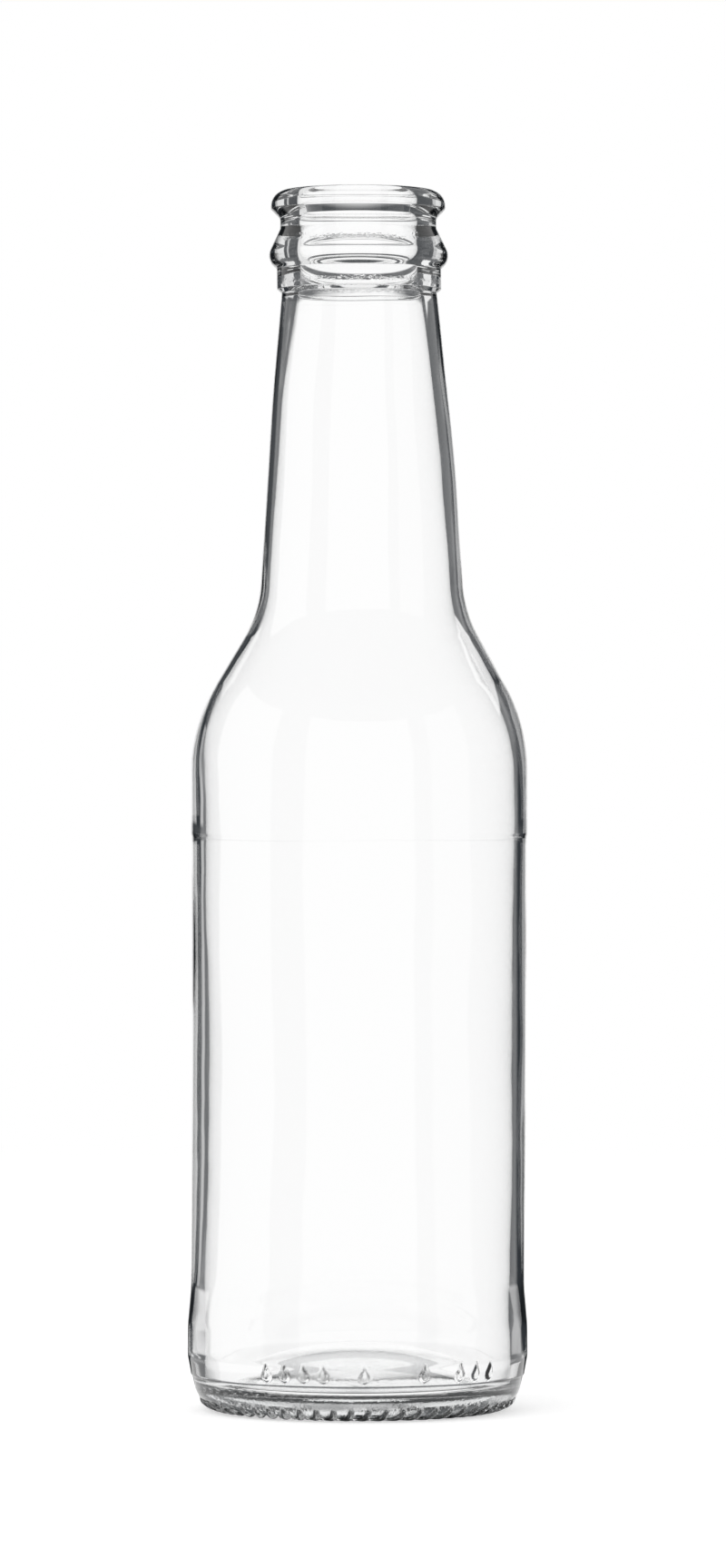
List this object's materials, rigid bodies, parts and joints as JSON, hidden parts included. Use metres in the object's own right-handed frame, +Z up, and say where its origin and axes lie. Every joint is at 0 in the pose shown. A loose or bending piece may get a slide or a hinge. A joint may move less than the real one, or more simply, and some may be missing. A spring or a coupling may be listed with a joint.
{
  "type": "glass drink bottle",
  "caption": "Clear glass long-neck drink bottle, open and empty, with rounded shoulders, a ringed lip that takes a crimped metal cap, and a ridged base.",
  "frame": {"origin": "centre of the base, on the plane that the bottle stands on, which is the crests of the ridges under the bearing ring", "axes": "+Z up along the bottle's axis, towards the mouth; -Y towards the front, the side of the heel that carries the index beads; +X to the right of someone who looks at the front"},
  "size_m": [0.0516, 0.0518, 0.185],
  "materials": {
    "flint_glass": "clear colourless moulded glass, fire-polished and glossy inside and out"
  },
  "bodies": {
    "root": {"bottle": "flint_glass"}
  },
  "joints": []
}
